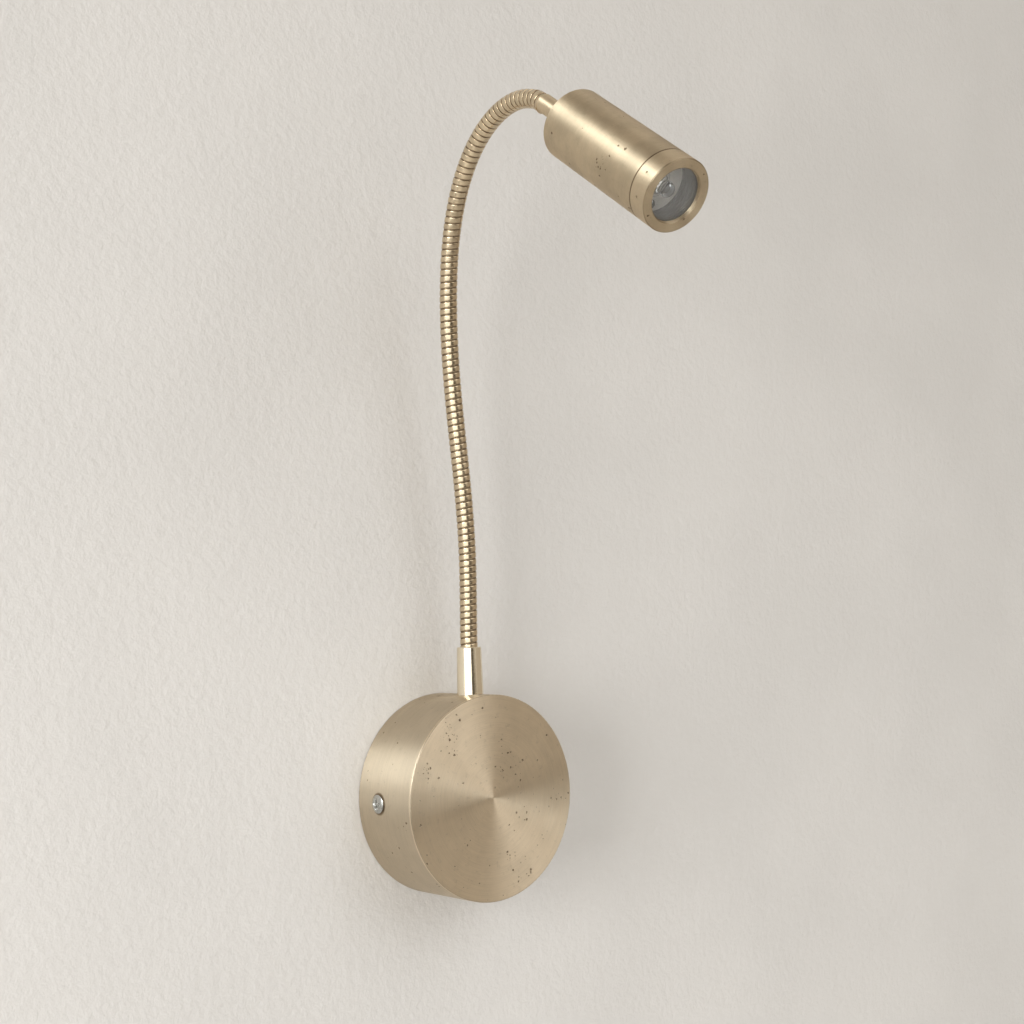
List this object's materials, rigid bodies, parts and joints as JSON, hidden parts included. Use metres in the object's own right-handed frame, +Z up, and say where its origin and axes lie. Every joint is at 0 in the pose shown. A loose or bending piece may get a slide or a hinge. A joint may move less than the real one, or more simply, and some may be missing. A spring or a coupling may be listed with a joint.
{
  "type": "wall reading lamp",
  "caption": "Wall reading lamp: round brushed brass canopy, flexible gooseneck on a tapered ferrule, and a slim cylindrical LED spot head with a glazed screw-on bezel.",
  "frame": {"origin": "midpoint between the two wall screws, on the wall, which is the centre of the canopy's back", "axes": "+Z up along the wall, +Y into the wall, -Y out into the room, +X to the right for someone facing the wall"},
  "size_m": [0.0826, 0.1733, 0.3036],
  "materials": {
    "brushed_brass": "brushed, lacquered",
    "polished_brass": "polished",
    "neck_wire": "drawn wire, lacquered",
    "zinc_steel": "zinc plated",
    "screw_steel": "nickel plated",
    "terminal_brass": "drawn",
    "nylon": "moulded",
    "driver_plastic": "moulded, fine texture",
    "foam": "closed cell foam",
    "lead_jacket": "smooth",
    "live_jacket": "smooth",
    "neutral_jacket": "smooth",
    "sink_aluminium": "turned",
    "board_laminate": "white solder mask",
    "spacer_metal": "turned, anodised dark grey",
    "led_ceramic": "smooth",
    "led_silicone": "clear over yellow phosphor",
    "clear_lens": "clear moulded acrylic",
    "gasket_rubber": "moulded",
    "clear_glass": "clear, flat"
  },
  "bodies": {
    "canopy": {"canopy_cover": "brushed_brass", "back_plate": "zinc_steel", "cover_screws": "screw_steel", "cable_bush": "nylon", "arm_ferrule": "polished_brass", "arm_nipple": "zinc_steel", "arm_washer": "zinc_steel", "arm_nut": "zinc_steel", "driver_case": "driver_plastic", "driver_pad": "foam", "terminal_block": "nylon", "terminal_tubes": "terminal_brass", "terminal_screws": "screw_steel", "live_wire": "live_jacket", "neutral_wire": "neutral_jacket", "earth_screw": "screw_steel", "earth_washer": "zinc_steel", "neck_foot": "neck_wire", "lamp_lead": "lead_jacket"},
    "neck_01": {"neck_01": "neck_wire"},
    "neck_02": {"neck_02": "neck_wire"},
    "neck_03": {"neck_03": "neck_wire"},
    "neck_04": {"neck_04": "neck_wire"},
    "neck_05": {"neck_05": "neck_wire"},
    "neck_06": {"neck_06": "neck_wire"},
    "neck_07": {"neck_07": "neck_wire"},
    "neck_08": {"neck_08": "neck_wire"},
    "neck_09": {"neck_09": "neck_wire"},
    "neck_10": {"neck_10": "neck_wire"},
    "neck_11": {"neck_11": "neck_wire"},
    "neck_12": {"neck_12": "neck_wire"},
    "neck_13": {"neck_13": "neck_wire"},
    "neck_14": {"neck_14": "neck_wire"},
    "neck_15": {"neck_15": "neck_wire"},
    "neck_16": {"neck_16": "neck_wire"},
    "neck_17": {"neck_17": "neck_wire"},
    "neck_18": {"neck_18": "neck_wire"},
    "neck_19": {"neck_19": "neck_wire"},
    "neck_20": {"neck_20": "neck_wire"},
    "neck_21": {"neck_21": "neck_wire"},
    "neck_22": {"neck_22": "neck_wire"},
    "neck_23": {"neck_23": "neck_wire"},
    "head": {"neck_tip": "neck_wire", "head_collar": "polished_brass", "head_washer": "zinc_steel", "head_nut": "zinc_steel", "head_barrel": "brushed_brass", "heat_sink": "sink_aluminium", "led_board": "board_laminate", "board_screws": "screw_steel", "led_body": "led_ceramic", "led_dome": "led_silicone", "spacer_tube": "spacer_metal", "lens": "clear_lens", "glass_gasket": "gasket_rubber", "cover_glass": "clear_glass", "bezel_ring": "brushed_brass"}
  },
  "joints": [
    {"name": "lower_arm_tilt", "type": "hinge", "parent": "canopy", "child": "neck_01", "pos_m": [-0.00001, -0.02115, 0.06384], "axis": [1, 0, 0.0041], "range_deg": [-1, 8], "deforming": ["lamp_lead"]},
    {"name": "lower_arm_swing", "type": "hinge", "parent": "neck_01", "child": "neck_02", "pos_m": [-0.0001, -0.02152, 0.07411], "axis": [0.0003, -0.9988, -0.0484], "range_deg": [-10, 10]},
    {"name": "lower_arm_tilt_03", "type": "hinge", "parent": "neck_02", "child": "neck_03", "pos_m": [-0.00034, -0.0221, 0.08437], "axis": [0.9995, -0.0015, 0.0329], "range_deg": [-1, 8]},
    {"name": "lower_arm_swing_04", "type": "hinge", "parent": "neck_03", "child": "neck_04", "pos_m": [-0.0008, -0.02271, 0.09463], "axis": [0.0002, -0.9985, -0.0543], "range_deg": [-10, 10]},
    {"name": "lower_arm_tilt_05", "type": "hinge", "parent": "neck_04", "child": "neck_05", "pos_m": [-0.0015, -0.0232, 0.10487], "axis": [0.9968, -0.004, 0.0795], "range_deg": [-1, 8]},
    {"name": "lower_arm_swing_06", "type": "hinge", "parent": "neck_05", "child": "neck_06", "pos_m": [-0.00242, -0.02359, 0.1151], "axis": [-0.0012, -0.9994, -0.0352], "range_deg": [-10, 10]},
    {"name": "lower_arm_tilt_07", "type": "hinge", "parent": "neck_06", "child": "neck_07", "pos_m": [-0.00351, -0.02393, 0.12532], "axis": [0.9936, -0.0052, 0.1127], "range_deg": [-1, 8]},
    {"name": "lower_arm_swing_08", "type": "hinge", "parent": "neck_07", "child": "neck_08", "pos_m": [-0.00473, -0.02425, 0.13552], "axis": [-0.0014, -0.9994, -0.0335], "range_deg": [-10, 10]},
    {"name": "lower_arm_tilt_09", "type": "hinge", "parent": "neck_08", "child": "neck_09", "pos_m": [-0.00602, -0.02462, 0.14571], "axis": [0.9918, -0.0057, 0.1276], "range_deg": [-1, 8]},
    {"name": "lower_arm_swing_10", "type": "hinge", "parent": "neck_09", "child": "neck_10", "pos_m": [-0.00734, -0.02513, 0.15589], "axis": [0.0018, -0.9983, -0.0583], "range_deg": [-10, 10]},
    {"name": "lower_arm_tilt_11", "type": "hinge", "parent": "neck_10", "child": "neck_11", "pos_m": [-0.00865, -0.02584, 0.16606], "axis": [0.9921, -0.0054, 0.1249], "range_deg": [-1, 8]},
    {"name": "lower_arm_swing_12", "type": "hinge", "parent": "neck_11", "child": "neck_12", "pos_m": [-0.00991, -0.02683, 0.17622], "axis": [0.0086, -0.9937, -0.1121], "range_deg": [-10, 10]},
    {"name": "upper_arm_tilt", "type": "hinge", "parent": "neck_12", "child": "neck_13", "pos_m": [-0.01111, -0.02816, 0.18634], "axis": [0.9933, -0.0044, 0.1158], "range_deg": [-13, 5]},
    {"name": "upper_arm_swing", "type": "hinge", "parent": "neck_13", "child": "neck_14", "pos_m": [-0.01228, -0.0299, 0.1964], "axis": [0.0177, -0.9816, -0.19], "range_deg": [-12, 12]},
    {"name": "upper_arm_tilt_15", "type": "hinge", "parent": "neck_14", "child": "neck_15", "pos_m": [-0.01339, -0.03211, 0.20638], "axis": [0.9941, -0.0029, 0.1082], "range_deg": [-13, 5]},
    {"name": "upper_arm_swing_16", "type": "hinge", "parent": "neck_15", "child": "neck_16", "pos_m": [-0.01444, -0.03498, 0.21619], "axis": [0.0314, -0.9482, -0.316], "range_deg": [-12, 12]},
    {"name": "upper_arm_tilt_17", "type": "hinge", "parent": "neck_16", "child": "neck_17", "pos_m": [-0.01541, -0.03869, 0.22573], "axis": [0.9952, 0.0006, 0.0983], "range_deg": [-13, 5]},
    {"name": "upper_arm_swing_18", "type": "hinge", "parent": "neck_17", "child": "neck_18", "pos_m": [-0.01628, -0.04343, 0.2348], "axis": [0.051, -0.8555, -0.5153], "range_deg": [-12, 12]},
    {"name": "upper_arm_tilt_19", "type": "hinge", "parent": "neck_18", "child": "neck_19", "pos_m": [-0.01702, -0.04937, 0.24314], "axis": [0.9958, 0.0046, 0.091], "range_deg": [-13, 5]},
    {"name": "upper_arm_swing_20", "type": "hinge", "parent": "neck_19", "child": "neck_20", "pos_m": [-0.01765, -0.05664, 0.25037], "axis": [0.0734, -0.6335, -0.7702], "range_deg": [-12, 12]},
    {"name": "upper_arm_tilt_21", "type": "hinge", "parent": "neck_20", "child": "neck_21", "pos_m": [-0.01818, -0.06522, 0.25596], "axis": [0.9953, -0.0036, 0.0966], "range_deg": [-13, 5]},
    {"name": "upper_arm_swing_22", "type": "hinge", "parent": "neck_21", "child": "neck_22", "pos_m": [-0.01861, -0.07488, 0.25935], "axis": [0.0956, -0.2031, -0.9745], "range_deg": [-12, 12]},
    {"name": "upper_arm_tilt_23", "type": "hinge", "parent": "neck_22", "child": "neck_23", "pos_m": [-0.01897, -0.0851, 0.25991], "axis": [0.9937, -0.0446, 0.1024], "range_deg": [-13, 5]},
    {"name": "upper_arm_swing_24", "type": "hinge", "parent": "neck_23", "child": "head", "pos_m": [-0.01931, -0.09494, 0.25715], "axis": [0.1178, 0.4323, -0.894], "range_deg": [-12, 12]}
  ],
  "couplings": [
    {"joint": "lower_arm_tilt_03", "follows": "lower_arm_tilt", "ratio": 1},
    {"joint": "lower_arm_swing_04", "follows": "lower_arm_swing", "ratio": 1},
    {"joint": "lower_arm_tilt_05", "follows": "lower_arm_tilt", "ratio": 1},
    {"joint": "lower_arm_swing_06", "follows": "lower_arm_swing", "ratio": 1},
    {"joint": "lower_arm_tilt_07", "follows": "lower_arm_tilt", "ratio": 1},
    {"joint": "lower_arm_swing_08", "follows": "lower_arm_swing", "ratio": 1},
    {"joint": "lower_arm_tilt_09", "follows": "lower_arm_tilt", "ratio": 1},
    {"joint": "lower_arm_swing_10", "follows": "lower_arm_swing", "ratio": 1},
    {"joint": "lower_arm_tilt_11", "follows": "lower_arm_tilt", "ratio": 1},
    {"joint": "lower_arm_swing_12", "follows": "lower_arm_swing", "ratio": 1},
    {"joint": "upper_arm_tilt_15", "follows": "upper_arm_tilt", "ratio": 1},
    {"joint": "upper_arm_swing_16", "follows": "upper_arm_swing", "ratio": 1},
    {"joint": "upper_arm_tilt_17", "follows": "upper_arm_tilt", "ratio": 1},
    {"joint": "upper_arm_swing_18", "follows": "upper_arm_swing", "ratio": 1},
    {"joint": "upper_arm_tilt_19", "follows": "upper_arm_tilt", "ratio": 1},
    {"joint": "upper_arm_swing_20", "follows": "upper_arm_swing", "ratio": 1},
    {"joint": "upper_arm_tilt_21", "follows": "upper_arm_tilt", "ratio": 1},
    {"joint": "upper_arm_swing_22", "follows": "upper_arm_swing", "ratio": 1},
    {"joint": "upper_arm_tilt_23", "follows": "upper_arm_tilt", "ratio": 1},
    {"joint": "upper_arm_swing_24", "follows": "upper_arm_swing", "ratio": 1}
  ]
}
